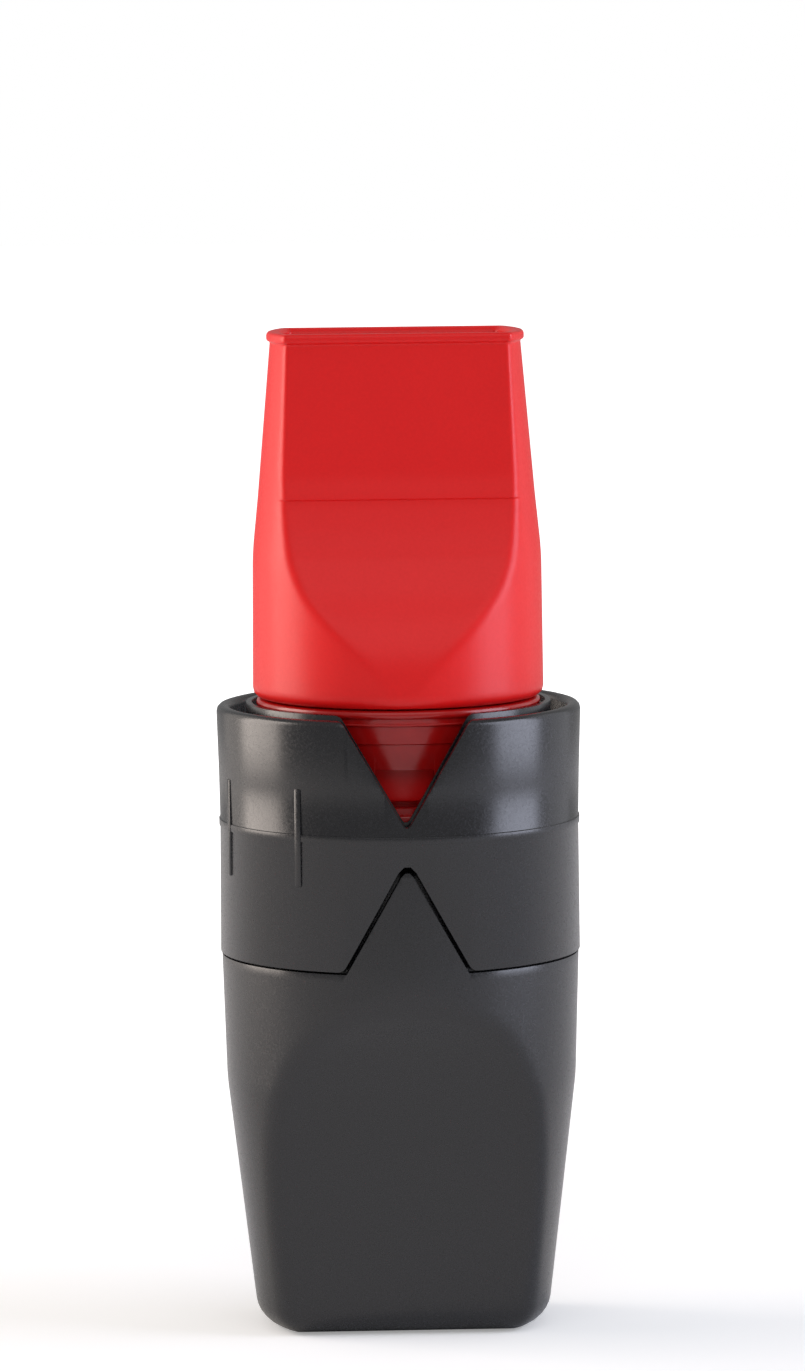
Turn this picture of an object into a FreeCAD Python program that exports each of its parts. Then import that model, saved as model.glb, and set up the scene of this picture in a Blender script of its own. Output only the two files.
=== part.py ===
# Oscillating positive expiratory pressure device: a red mouthpiece that turns, with a soft valve hose,
# in a dark sleeve on a dark housing. The housing also goes over the mouthpiece as its cap.
# Millimetres, +Z up, the origin in the middle of the foot, the V notch with the start mark towards -Y.
import FreeCAD, Part
import math
import os
from types import SimpleNamespace

import Sketcher

Vector = FreeCAD.Vector
Rotation = FreeCAD.Rotation
Placement = FreeCAD.Placement

# Driving dimensions. Lengths in millimetres, and angles in degrees, named _angle or _pitch.
SIZES = {
    # How far a cutting outline reaches past what it cuts
    "cut_margin": 1.0,
    # Housing: a cup, round at the shoulder and flattened front and back towards its foot
    "housing_height": 48.3,
    "shoulder_radius": 22.95,
    "kink_drop": 16.2,
    "kink_inset": 0.49,
    "kink_rounding": 26.0,
    "foot_inset": 4.28,
    "foot_rounding": 3.2,
    "flat_foot_inset": 12.35,
    "flat_bend_drop": 19.8,
    "flat_bend_inset": 11.25,
    "flat_bend_rounding": 34.0,
    "flat_rise": 15.7,
    "arch_rounding": 4.5,
    "foot_wall": 1.5,
    "floor_wall": 1.6,
    "inner_foot_chamfer": 1.2,
    "core_draft": 0.15,
    "neck_height": 13.3,
    "neck_wall": 1.35,
    "neck_clearance": 0.09,
    "neck_lead_in": 0.5,
    "neck_lead_in_height": 1.0,
    "parting_gap": 0.3,
    # Sleeve: the V notches above and the lower notches, which the housing's tongues fill, are alike
    "sleeve_height": 31.8,
    "sleeve_foot_proud": 0.17,
    "waist_height": 16.8,
    "waist_proud": 0.07,
    "waist_rounding": 210.0,
    "rim_proud": 0.43,
    "rim_chamfer": 0.6,
    "sleeve_wall": 1.52,
    "notch_depth": 13.42,
    "notch_half_width": 8.16,
    "notch_tip_rounding": 0.6,
    "notch_corner_rounding": 1.2,
    "notch_overrun": 0.04,
    "tongue_gap": 0.42,
    "web_height": 15.5,
    "web_wall": 1.4,
    "web_reach": 3.3,
    "port_depth": 1.7,
    "port_angle": 22.0,
    "port_count": 10,
    "band_height": 0.95,
    "band_proud": 0.3,
    "rib_root": 0.4,
    "bar_length": 12.4,
    "bar_angle": 2.3,
    "bar_proud": 0.3,
    "bar_count": 4,
    "click_pitch": 36.0,
    # Guide ring: the thin ring that the holder turns in
    "ring_gap": 1.95,
    "ring_wall": 0.75,
    "ring_height": 15.2,
    "ring_base_wall": 1.2,
    "ring_spigot_wall": 1.55,
    "ring_spigot_length": 4.9,
    "fit_clearance": 0.05,
    # Hose guide: the scoop that bends the hose inside the housing
    "collar_wall": 0.95,
    "collar_length": 6.8,
    "collar_sink": 0.1,
    "scoop_wall": 1.5,
    "scoop_width": 26.0,
    "scoop_drop": 51.0,
    "scoop_upper_drop": 15.5,
    "scoop_bend_drop": 28.0,
    "scoop_bend_reach": 3.8,
    "scoop_end_reach": -4.0,
    "scoop_upper_rounding": 6.0,
    "scoop_bend_rounding": 12.0,
    "scoop_rib_width": 1.2,
    "scoop_rib_depth": 2.2,
    "scoop_rib_spacing": 10.0,
    # Hose holder: a stepped cup with the hose spigot below it
    "seat_clearance": 0.15,
    "flange_clearance": 0.08,
    "flange_wall": 1.1,
    "undercut_depth": 2.67,
    "undercut_height": 1.05,
    "holder_inset": 1.12,
    "band_inset": 0.25,
    "band_top_height": 10.05,
    "lip_height": 12.35,
    "lip_proud": 0.3,
    "lip_wall": 0.3,
    "bead_proud": 0.6,
    "bead_wall": 1.1,
    "bead_chamfer": 0.4,
    "bead_groove_proud": 0.15,
    "holder_height": 14.35,
    "holder_wall": 2.3,
    "bore_depth": 12.0,
    "cup_wall": 1.3,
    "cup_depth": 6.75,
    "cup_floor_wall": 1.4,
    "cup_step": 1.45,
    "window_height": 4.65,
    "window_sink": 0.4,
    "window_angle": 25.4,
    "key_angle": 12.0,
    "key_height": 0.65,
    "key_top_drop": 0.65,
    "key_foot_rise": 1.25,
    "key_clearance": 0.2,
    "keyway_spare_angle": 1.6,
    "keyway_overlap": 1.0,
    "spigot_radius": 9.0,
    "spigot_wall": 1.1,
    "spigot_length": 9.6,
    # Soft hose and its clamp
    "hose_wall": 0.95,
    "hose_gap": 0.3,
    "hose_length": 43.6,
    "clamp_wall": 1.15,
    "clamp_height": 4.2,
    "clamp_drop": 3.0,
    "clamp_groove_height": 1.4,
    "clamp_chamfer": 0.45,
    # Mouthpiece: a round skirt that rises into a flattened bite end with a rolled lip
    "skirt_clearance": 0.15,
    "skirt_proud": 1.05,
    "skirt_height": 18.5,
    "skirt_edge_chamfer": 0.8,
    "skirt_draft": 0.17,
    "stop_height": 25.9,
    "stop_inset": 0.93,
    "shoulder_rounding": 36.0,
    "stop_rounding": 7.0,
    "mouthpiece_height": 46.8,
    "mouth_inset": 2.75,
    "mouth_wall": 1.5,
    "lip_roll": 0.6,
    "lip_roll_height": 1.9,
    "lip_roll_chamfer": 0.6,
    "flat_low_height": 0.8,
    "flat_low_proud": 0.1,
    "flat_knee_height": 8.4,
    "flat_knee_inset": 1.5,
    "flat_knee_rounding": 14.0,
    "flat_mid_height": 16.6,
    "flat_mid_inset": 7.2,
    "flat_mid_rounding": 11.0,
    "stop_flat_inset": 8.95,
    "stop_groove_depth": 0.35,
    "stop_groove_reach": 1.4,
    "stop_groove_spread": 3.2,
    "stop_groove_rounding": 1.0,
    "mouth_flat_inset": 10.4,
    "mouth_edge_rounding": 2.4,
    "plug_foot_gap": 0.16,
    "plug_clearance": 0.08,
    "plug_wall": 1.5,
    "nose_length": 5.9,
    "nose_wall": 2.2,
    "funnel_foot_height": 2.2,
    "funnel_top_height": 5.5,
    "seal_height": 3.4,
    "seal_groove_depth": 1.1,
    "seal_groove_width": 1.5,
    "seal_clearance": 0.03,
    "seal_corner_share": 0.6,
}

# Azimuth of the front, -Y, counted from +X
FRONT = 270.0


class Size:
    """A length or an angle: its number now, and the expression that gives it from the sheet."""

    def __init__(self, number, text):
        self.number = number
        self.text = text

    def joined(self, sign, other, number):
        return Size(number, "(" + self.text + " " + sign + " " + as_size(other).text + ")")

    def __add__(self, other):
        return self.joined("+", other, self.number + as_size(other).number)

    def __sub__(self, other):
        return self.joined("-", other, self.number - as_size(other).number)

    def __mul__(self, other):
        return self.joined("*", other, self.number * as_size(other).number)

    def __truediv__(self, other):
        return self.joined("/", other, self.number / as_size(other).number)

    def __neg__(self):
        return Size(-self.number, "(0 - " + self.text + ")")


def as_size(given):
    return given if isinstance(given, Size) else Size(float(given), str(given))


doc = FreeCAD.newDocument("ExpiratoryPressureDevice")
sheet = doc.addObject("Spreadsheet::Sheet", "Sizes")
for row, (name, number) in enumerate(SIZES.items(), start=1):
    sheet.set("A" + str(row), name)
    sheet.set("B" + str(row), str(number))
    sheet.setAlias("B" + str(row), name)
doc.recompute()
s = SimpleNamespace(**{name: Size(number, "Sizes." + name) for name, number in SIZES.items()})

# Radii, depths and heights that follow from the shoulder's radius and the housing's height
s.kink_height = s.housing_height - s.kink_drop
s.kink_radius = s.shoulder_radius - s.kink_inset
s.foot_radius = s.shoulder_radius - s.foot_inset
s.flat_foot_depth = s.shoulder_radius - s.flat_foot_inset
s.flat_bend_height = s.housing_height - s.flat_bend_drop
s.flat_bend_depth = s.shoulder_radius - s.flat_bend_inset
s.sleeve_foot_radius = s.shoulder_radius + s.sleeve_foot_proud
s.waist_radius = s.shoulder_radius + s.waist_proud
s.rim_radius = s.shoulder_radius + s.rim_proud
s.sleeve_bore_radius = s.waist_radius - s.sleeve_wall
s.web_bore_radius = s.sleeve_bore_radius - s.web_reach
s.port_inner_radius = s.sleeve_bore_radius - s.port_depth
s.ring_outer_radius = s.sleeve_bore_radius - s.ring_gap
s.ring_base_bore = s.web_bore_radius - s.fit_clearance - s.ring_spigot_wall
s.flange_radius = s.ring_outer_radius - s.ring_wall - s.flange_clearance
s.undercut_radius = s.flange_radius - s.undercut_depth
s.holder_radius = s.flange_radius - s.holder_inset
s.holder_band_radius = s.holder_radius - s.band_inset
s.bead_radius = s.holder_radius + s.bead_proud
s.bead_groove_radius = s.holder_radius + s.bead_groove_proud
s.holder_bore_radius = s.holder_radius - s.holder_wall
s.nose_bore_radius = s.holder_bore_radius - s.cup_step
s.skirt_radius = s.holder_radius + s.skirt_proud
s.skirt_top_radius = s.skirt_radius - s.skirt_draft
s.stop_radius = s.skirt_radius - s.stop_inset
s.mouth_radius = s.skirt_radius - s.mouth_inset
s.flat_knee_depth = s.skirt_radius - s.flat_knee_inset
s.flat_mid_depth = s.skirt_radius - s.flat_mid_inset
s.stop_flat_depth = s.skirt_radius - s.stop_flat_inset
s.mouth_flat_depth = s.skirt_radius - s.mouth_flat_inset


def origin_feature(body, role):
    return next(part for part in body.Origin.OriginFeatures if part.Role == role)


def outline(body, plane, name, corners, azimuth=0.0):
    """A closed sketch through corners (across, up) or (across, up, rounding), each bound to the sheet."""
    sketch = body.newObject("Sketcher::SketchObject", name)
    sketch.AttachmentSupport = (origin_feature(body, plane), [""])
    sketch.MapMode = "FlatFace"
    sketch.AttachmentOffset = Placement(Vector(0, 0, 0), Rotation(Vector(0, 1, 0), azimuth))
    points = [tuple(as_size(value) for value in corner) for corner in corners]
    flat = [Vector(point[0].number, point[1].number, 0) for point in points]
    count = len(points)
    entries, exits, arcs = [], [], {}
    for i in range(count):
        here, before, after = flat[i], flat[i - 1], flat[(i + 1) % count]
        if len(points[i]) == 2:
            entries.append(here)
            exits.append(here)
            continue
        to_before = (before - here).normalize()
        to_after = (after - here).normalize()
        half = to_before.getAngle(to_after) / 2
        radius = points[i][2].number
        run = radius / math.tan(half)
        start, end = here + to_before * run, here + to_after * run
        centre = here + (to_before + to_after).normalize() * (radius / math.sin(half))
        left_turn = (here - before).cross(after - here).z > 0
        first, last = (start, end) if left_turn else (end, start)
        angles = [math.atan2(p.y - centre.y, p.x - centre.x) for p in (first, last)]
        circle = Part.Circle(centre, Vector(0, 0, 1), radius)
        arcs[i] = (Part.ArcOfCircle(circle, *angles), left_turn)
        entries.append(start)
        exits.append(end)
    for i in range(count):
        sketch.addGeometry(Part.LineSegment(exits[i], entries[(i + 1) % count]), False)
    for i in range(count):
        across, up = points[i][0], points[i][1]
        if i in arcs:
            arc, left_turn = arcs[i]
            curve = sketch.addGeometry(arc, False)
            place, end = sketch.addGeometry(Part.Point(flat[i]), True), 1
            near, far = (1, 2) if left_turn else (2, 1)
            sketch.addConstraint(Sketcher.Constraint("Tangent", (i - 1) % count, 2, curve, near))
            sketch.addConstraint(Sketcher.Constraint("Tangent", curve, far, i, 1))
            sketch.addConstraint(Sketcher.Constraint("PointOnObject", place, 1, (i - 1) % count))
            sketch.addConstraint(Sketcher.Constraint("PointOnObject", place, 1, i))
            radius = sketch.addConstraint(Sketcher.Constraint("Radius", curve, points[i][2].number))
            sketch.setExpression("Constraints[" + str(radius) + "]", points[i][2].text)
        else:
            sketch.addConstraint(Sketcher.Constraint("Coincident", (i - 1) % count, 2, i, 1))
            place, end = i, 1
        for axis, value, line in (("DistanceX", across, -2), ("DistanceY", up, -1)):
            if value.text == "0":
                sketch.addConstraint(Sketcher.Constraint("PointOnObject", place, end, line))
                continue
            bound = sketch.addConstraint(Sketcher.Constraint(axis, -1, 1, place, end, value.number))
            sketch.setExpression("Constraints[" + str(bound) + "]", value.text)
    doc.recompute()
    return sketch


def new_body(name, seat=None):
    """A body whose own zero height stands at seat."""
    body = doc.addObject("PartDesign::Body", name)
    if seat is not None:
        body.setExpression("Placement.Base.z", seat.text)
    return body


def turned(body, kind, name, sketch, angle=None):
    """A revolution or groove of a sketch about the upright axis, whole or an angle wide about the sketch."""
    feature = body.newObject("PartDesign::" + kind, name)
    feature.Profile = (sketch, [""])
    feature.ReferenceAxis = (sketch, ["V_Axis"])
    feature.Angle = 360.0
    if angle is not None:
        feature.Midplane = True
        feature.setExpression("Angle", angle.text)
    doc.recompute()
    return feature


def cut_through(body, name, sketch):
    """A pocket right through the body, both ways from its sketch."""
    pocket = body.newObject("PartDesign::Pocket", name)
    pocket.Profile = (sketch, [""])
    pocket.SideType = "Symmetric"
    pocket.Type = "ThroughAll"
    before = pocket.BaseFeature.Shape.Volume
    doc.recompute()
    if not pocket.Shape.Volume < before:
        raise RuntimeError(name + " cuts nothing")
    return pocket


def mirrored(body, name, feature, role):
    mirror = body.newObject("PartDesign::Mirrored", name)
    mirror.Originals = [feature]
    mirror.MirrorPlane = (origin_feature(body, role), [""])
    body.Tip = mirror
    doc.recompute()
    return mirror


def repeated(body, name, features, angle, count):
    """Copies of features about the upright axis, spread over an angle."""
    pattern = body.newObject("PartDesign::PolarPattern", name)
    pattern.Originals = features
    pattern.Axis = (origin_feature(body, "Z_Axis"), [""])
    pattern.setExpression("Angle", angle)
    pattern.setExpression("Occurrences", count.text)
    body.Tip = pattern
    doc.recompute()
    return pattern


def rounded(body, name, edges, radius):
    feature = body.Tip
    fillet = body.newObject("PartDesign::Fillet", name)
    fillet.Base = (feature, edges)
    fillet.setExpression("Radius", radius.text)
    doc.recompute()
    return fillet


def bevelled(body, name, edges, size):
    feature = body.Tip
    chamfer = body.newObject("PartDesign::Chamfer", name)
    chamfer.Base = (feature, edges)
    chamfer.setExpression("Size", size.text)
    doc.recompute()
    return chamfer


def chosen_edges(shape, test):
    """The names of the edges for which test(edge, its faces) holds."""
    names = []
    for number, edge in enumerate(shape.Edges, start=1):
        if test(edge, shape.ancestorsOfType(edge, Part.Face)):
            names.append("Edge" + str(number))
    return names


def is_flat_side(face):
    """True for the surfaces of a flattened side, whose straight lines run along X."""
    surface = face.Surface
    if isinstance(surface, Part.Plane):
        return abs(surface.Axis.x) < 1e-6 and abs(surface.Axis.y) > 1e-3
    return isinstance(surface, Part.Cylinder) and abs(surface.Axis.x) > 0.999


def is_round_side(face):
    """True for a surface turned about the upright axis."""
    surface = face.Surface
    round_kinds = (Part.Cylinder, Part.Cone, Part.Toroid)
    return isinstance(surface, round_kinds) and abs(surface.Axis.z) > 0.999


def meets_flat_and_round(edge, faces):
    return len(faces) == 2 and any(map(is_flat_side, faces)) and any(map(is_round_side, faces))


def boolean(kind, name, *shapes):
    """A Part::Cut of two objects, or a Part::MultiFuse of several."""
    result = doc.addObject("Part::" + kind, name)
    if kind == "MultiFuse":
        result.Shapes = list(shapes)
    else:
        result.Base, result.Tool = shapes
    doc.recompute()
    return result


def flattened(body, name, side):
    """Cuts the body back to a side outline, (depth, height) from foot to top, in front and behind."""
    far = s.skirt_radius + s.shoulder_radius
    low, high = side[0], side[-1]
    corners = [(far, low[1])] + side + [(far, high[1])]
    cut = cut_through(body, name, outline(body, "YZ_Plane", name + "_outline", corners))
    return mirrored(body, name + "_behind", cut, "XZ_Plane")


# Heights at which the pieces stand
neck_top = s.housing_height + s.neck_height
sleeve_foot = s.housing_height + s.parting_gap
web_top = sleeve_foot + s.web_height + s.web_wall
holder_seat = web_top + s.ring_base_wall + s.seat_clearance
collar_seat = web_top + s.ring_base_wall - s.collar_sink
mouthpiece_seat = holder_seat + s.holder_height + s.skirt_clearance
neck_radius = s.sleeve_bore_radius - s.neck_clearance
neck_bore = neck_radius - s.neck_wall
plug_foot = s.plug_foot_gap - s.bore_depth - s.skirt_clearance


def housing_side(inset):
    """The housing's flattened side from foot to arch, moved in by inset."""
    slope_top = s.flat_bend_height + s.flat_rise
    return [
        (s.flat_foot_depth - inset, 0),
        (s.flat_bend_depth - inset, s.flat_bend_height, s.flat_bend_rounding),
        (s.shoulder_radius - inset, slope_top),
        (s.shoulder_radius + s.cut_margin * 2, slope_top + s.cut_margin * 2),
    ]


def make_cap_housing():
    """Moulded cup with a thin neck that enters the sleeve, and tongues that fill its lower notches."""
    solid = new_body("housing_solid")
    corners = [
        (0, 0),
        (s.foot_radius, 0),
        (s.kink_radius, s.kink_height, s.kink_rounding),
        (s.shoulder_radius, s.housing_height),
        (s.waist_radius, neck_top),
        (0, neck_top),
    ]
    profile = outline(solid, "XZ_Plane", "housing_profile", corners)
    turned(solid, "Revolution", "housing_turning", profile)
    flattened(solid, "housing_flat", housing_side(0))
    rounded(solid, "arch_edges", chosen_edges(solid.Tip.Shape, meets_flat_and_round), s.arch_rounding)
    at_foot = chosen_edges(solid.Tip.Shape, lambda edge, faces: edge.BoundBox.ZMax < 1e-4)
    rounded(solid, "foot_edge", at_foot, s.foot_rounding)

    hollow = new_body("housing_hollow")
    inner_foot = s.foot_radius - s.foot_wall
    corners = [
        (0, s.floor_wall),
        (inner_foot, s.floor_wall),
        (neck_bore - s.core_draft, s.kink_height),
        (neck_bore, neck_top + s.cut_margin),
        (0, neck_top + s.cut_margin),
    ]
    profile = outline(hollow, "XZ_Plane", "hollow_profile", corners)
    turned(hollow, "Revolution", "hollow_turning", profile)
    flattened(hollow, "hollow_flat", housing_side(s.foot_wall))
    floor = s.floor_wall.number
    at_floor = chosen_edges(hollow.Tip.Shape, lambda edge, faces: edge.BoundBox.ZMax < floor + 1e-4)
    bevelled(hollow, "floor_edge", at_floor, s.inner_foot_chamfer)

    relief = new_body("neck_relief")
    outer = s.shoulder_radius + s.cut_margin
    corners = [
        (neck_radius, s.housing_height),
        (outer, s.housing_height),
        (outer, neck_top + s.cut_margin),
        (neck_radius - s.neck_lead_in, neck_top + s.cut_margin),
        (neck_radius - s.neck_lead_in, neck_top),
        (neck_radius, neck_top - s.neck_lead_in_height),
    ]
    profile = outline(relief, "XZ_Plane", "relief_profile", corners)
    turned(relief, "Revolution", "relief_turning", profile)
    half_width = s.notch_half_width - s.tongue_gap
    tip = s.housing_height + s.notch_depth - s.tongue_gap
    corners = [
        (-half_width, s.housing_height - s.cut_margin),
        (half_width, s.housing_height - s.cut_margin),
        (half_width, s.housing_height),
        (0, tip, s.notch_tip_rounding),
        (-half_width, s.housing_height),
    ]
    cut_through(relief, "tongue_space", outline(relief, "XZ_Plane", "tongue_outline", corners))

    shell = boolean("Cut", "housing_shell", solid, hollow)
    return boolean("Cut", "cap_housing", shell, relief)


def make_connector_sleeve():
    """Moulded sleeve: a waisted wall with V notches, a web with air ports, a band and bars."""
    body = new_body("connector_sleeve", sleeve_foot)
    bore = s.sleeve_bore_radius
    web_roof = s.web_height + s.web_wall
    corners = [
        (bore, 0),
        (s.sleeve_foot_radius, 0),
        (s.waist_radius, s.waist_height, s.waist_rounding),
        (s.rim_radius, s.sleeve_height - s.rim_chamfer),
        (s.rim_radius - s.rim_chamfer, s.sleeve_height),
        (bore + s.rim_chamfer, s.sleeve_height),
        (bore, s.sleeve_height - s.rim_chamfer),
        (bore, web_roof),
        (s.web_bore_radius, web_roof),
        (s.web_bore_radius, s.web_height),
        (bore, s.web_height),
    ]
    profile = outline(body, "XZ_Plane", "sleeve_profile", corners)
    turned(body, "Revolution", "sleeve_turning", profile)

    half_band = s.band_height / 2
    inside = bore + s.rib_root
    proud = s.waist_radius + s.band_proud
    corners = [
        (inside, s.waist_height - half_band),
        (proud, s.waist_height - half_band),
        (proud, s.waist_height + half_band),
        (inside, s.waist_height + half_band),
    ]
    turned(body, "Revolution", "mid_band", outline(body, "XZ_Plane", "band_profile", corners))

    half_bar = s.bar_length / 2
    rise = s.sleeve_height - s.waist_height
    low_radius = s.waist_radius + (s.sleeve_foot_radius - s.waist_radius) * half_bar / s.waist_height
    high_radius = s.waist_radius + (s.rim_radius - s.waist_radius) * half_bar / rise
    corners = [
        (inside, s.waist_height - half_bar),
        (low_radius + s.bar_proud, s.waist_height - half_bar),
        (proud, s.waist_height),
        (high_radius + s.bar_proud, s.waist_height + half_bar),
        (inside, s.waist_height + half_bar),
    ]
    last_azimuth = FRONT - SIZES["bar_count"] * SIZES["click_pitch"]
    bar_outline = outline(body, "XZ_Plane", "bar_profile", corners, azimuth=last_azimuth)
    bar = turned(body, "Revolution", "setting_bar", bar_outline, s.bar_angle)
    spread = "Sizes.click_pitch * (Sizes.bar_count - 1)"
    repeated(body, "setting_bars", [bar], spread, s.bar_count)

    corners = [
        (s.port_inner_radius, s.web_height - s.cut_margin),
        (bore, s.web_height - s.cut_margin),
        (bore, web_roof + s.cut_margin),
        (s.port_inner_radius, web_roof + s.cut_margin),
    ]
    port_outline = outline(body, "XZ_Plane", "port_profile", corners)
    port = turned(body, "Groove", "air_port", port_outline, s.port_angle)
    repeated(body, "air_ports", [port], "360", s.port_count)

    upper_outline = notch_outline(body, "upper_notch_outline", s.sleeve_height, -1)
    cut_through(body, "upper_notches", upper_outline)
    lower_outline = notch_outline(body, "lower_notch_outline", as_size(0), 1)
    cut_through(body, "lower_notches", lower_outline)
    return body


def notch_outline(body, name, edge, way):
    """A V with a rounded tip and rounded mouth corners, from an edge upwards (1) or downwards (-1)."""
    mouth = edge - s.notch_overrun * way
    outside = edge - s.cut_margin * way
    half = s.notch_half_width
    wide = half + s.notch_corner_rounding + s.cut_margin
    corners = [
        (-wide, outside),
        (-wide, mouth),
        (-half, mouth, s.notch_corner_rounding),
        (0, edge + s.notch_depth * way, s.notch_tip_rounding),
        (half, mouth, s.notch_corner_rounding),
        (wide, mouth),
        (wide, outside),
    ]
    return outline(body, "XZ_Plane", name, corners)


def make_guide_ring():
    """Thin ring that the holder turns in, standing on the web, with a spigot through the web's bore."""
    body = new_body("guide_ring", web_top)
    inner = s.ring_outer_radius - s.ring_wall
    spigot = s.web_bore_radius - s.fit_clearance
    corners = [
        (s.ring_base_bore, -s.ring_spigot_length),
        (spigot, -s.ring_spigot_length),
        (spigot, 0),
        (s.ring_outer_radius, 0),
        (s.ring_outer_radius, s.ring_height),
        (inner, s.ring_height),
        (inner, s.ring_base_wall),
        (s.ring_base_bore, s.ring_base_wall),
    ]
    turned(body, "Revolution", "ring_turning", outline(body, "XZ_Plane", "ring_profile", corners))
    ring_outline = notch_outline(body, "ring_notch_outline", s.ring_height, -1)
    cut_through(body, "ring_notches", ring_outline)
    return body


def make_hose_guide():
    """Collar pressed into the guide ring, with a curved scoop that bends the hose towards the front."""
    body = new_body("guide_collar", collar_seat)
    outer = s.ring_base_bore - s.fit_clearance
    inner = outer - s.collar_wall
    corners = [(inner, -s.collar_length), (outer, -s.collar_length), (outer, 0), (inner, 0)]
    turned(body, "Revolution", "collar_turning", outline(body, "XZ_Plane", "collar_profile", corners))

    strip = new_body("scoop_strip", collar_seat)
    pad = strip.newObject("PartDesign::Pad", "scoop_pad")
    pad.Profile = (outline(strip, "YZ_Plane", "scoop_outline", scoop_side(s.scoop_wall)), [""])
    pad.SideType = "Symmetric"
    pad.setExpression("Length", s.scoop_width.text)
    doc.recompute()
    rib_outline = outline(strip, "YZ_Plane", "rib_outline", scoop_side(s.scoop_rib_depth))
    rib = strip.newObject("PartDesign::Pad", "scoop_rib")
    rib.Profile = (rib_outline, [""])
    rib.SideType = "Two sides"
    rib.setExpression("Length", (s.scoop_rib_spacing / 2 + s.scoop_rib_width).text)
    rib.setExpression("Length2", (-(s.scoop_rib_spacing / 2)).text)
    doc.recompute()
    mirrored(strip, "scoop_rib_beside", rib, "YZ_Plane")

    reach = doc.addObject("Part::Cylinder", "scoop_reach")
    reach.setExpression("Radius", outer.text)
    reach.setExpression("Height", (s.scoop_drop - s.collar_length / 2).text)
    reach.setExpression("Placement.Base.z", (collar_seat - s.scoop_drop).text)
    scoop = boolean("Common", "scoop", strip, reach)
    return boolean("MultiFuse", "hose_guide", body, scoop)


def scoop_side(wall):
    """The scoop's section, from its root at the back of the collar down to its tip near the front."""
    root = s.ring_base_bore - s.fit_clearance - s.collar_wall
    near = [
        (root, -(s.collar_length / 2)),
        (root, -s.scoop_upper_drop, s.scoop_upper_rounding),
        (s.scoop_bend_reach, -s.scoop_bend_drop, s.scoop_bend_rounding),
        (s.scoop_end_reach, -s.scoop_drop),
    ]
    far = [
        (s.scoop_end_reach + wall, -s.scoop_drop),
        (s.scoop_bend_reach + wall, -s.scoop_bend_drop, s.scoop_bend_rounding - wall),
        (root + wall, -s.scoop_upper_drop, s.scoop_upper_rounding + wall),
        (root + wall, -(s.collar_length / 2)),
    ]
    return near + far


def make_hose_holder():
    """Turning holder: a stepped wall with a bead and a window, a flange, a cup and the hose's spigot."""
    body = new_body("hose_holder", holder_seat)
    cup_radius = s.nose_bore_radius + s.cup_wall
    spigot_bore = s.spigot_radius - s.spigot_wall
    spigot_foot = -s.cup_depth - s.spigot_length
    floor = s.cup_floor_wall - s.cup_depth
    undercut_top = s.flange_wall + s.undercut_height
    bead_foot = s.holder_height - s.bead_wall
    corners = [
        (spigot_bore, spigot_foot),
        (s.spigot_radius, spigot_foot),
        (s.spigot_radius, -s.cup_depth),
        (cup_radius, -s.cup_depth),
        (cup_radius, 0),
        (s.flange_radius, 0),
        (s.flange_radius, s.flange_wall),
        (s.undercut_radius, s.flange_wall),
        (s.undercut_radius, undercut_top),
        (s.holder_band_radius, undercut_top),
        (s.holder_band_radius, s.band_top_height),
        (s.holder_radius, s.band_top_height),
        (s.holder_radius, s.lip_height),
        (s.holder_radius + s.lip_proud, s.lip_height),
        (s.holder_radius + s.lip_proud, s.lip_height + s.lip_wall),
        (s.bead_groove_radius, s.lip_height + s.lip_wall),
        (s.bead_groove_radius, bead_foot),
        (s.bead_radius, bead_foot),
        (s.bead_radius, s.holder_height - s.bead_chamfer),
        (s.bead_radius - s.bead_chamfer, s.holder_height),
        (s.holder_bore_radius, s.holder_height),
        (s.holder_bore_radius, s.holder_height - s.bore_depth),
        (s.nose_bore_radius, s.holder_height - s.bore_depth),
        (s.nose_bore_radius, floor),
        (spigot_bore, floor),
    ]
    profile = outline(body, "XZ_Plane", "holder_profile", corners)
    turned(body, "Revolution", "holder_turning", profile)

    window_top = undercut_top + s.window_height
    window_foot = undercut_top - s.window_sink
    bore_inside = s.holder_bore_radius - s.cut_margin
    corners = [
        (bore_inside, window_foot),
        (s.flange_radius, window_foot),
        (s.flange_radius, window_top),
        (bore_inside, window_top),
    ]
    window_outline = outline(body, "XZ_Plane", "window_profile", corners, azimuth=FRONT)
    turned(body, "Groove", "window", window_outline, s.window_angle)

    key_reach = s.holder_bore_radius + s.key_height + s.key_clearance
    corners = [
        (bore_inside, window_top - s.keyway_overlap),
        (key_reach, window_top - s.keyway_overlap),
        (key_reach, s.holder_height + s.cut_margin),
        (bore_inside, s.holder_height + s.cut_margin),
    ]
    keyway_outline = outline(body, "XZ_Plane", "keyway_profile", corners, azimuth=FRONT)
    turned(body, "Groove", "keyway", keyway_outline, s.key_angle + s.keyway_spare_angle)
    return body


def make_hose_clamp():
    """Elastic ring that holds the hose on the spigot, with two ribs for the fingers."""
    body = new_body("hose_clamp", holder_seat - s.cup_depth - s.clamp_drop - s.clamp_height)
    inner = s.spigot_radius + s.fit_clearance * 2 + s.hose_wall
    outer = inner + s.clamp_wall
    rib_height = (s.clamp_height - s.clamp_groove_height) / 2
    corners = [
        (inner, 0),
        (outer - s.clamp_chamfer, 0),
        (outer, s.clamp_chamfer),
        (outer, rib_height),
        (outer - s.clamp_chamfer, rib_height),
        (outer - s.clamp_chamfer, rib_height + s.clamp_groove_height),
        (outer, rib_height + s.clamp_groove_height),
        (outer, s.clamp_height - s.clamp_chamfer),
        (outer - s.clamp_chamfer, s.clamp_height),
        (inner, s.clamp_height),
    ]
    turned(body, "Revolution", "clamp_turning", outline(body, "XZ_Plane", "clamp_profile", corners))
    return body


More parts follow.
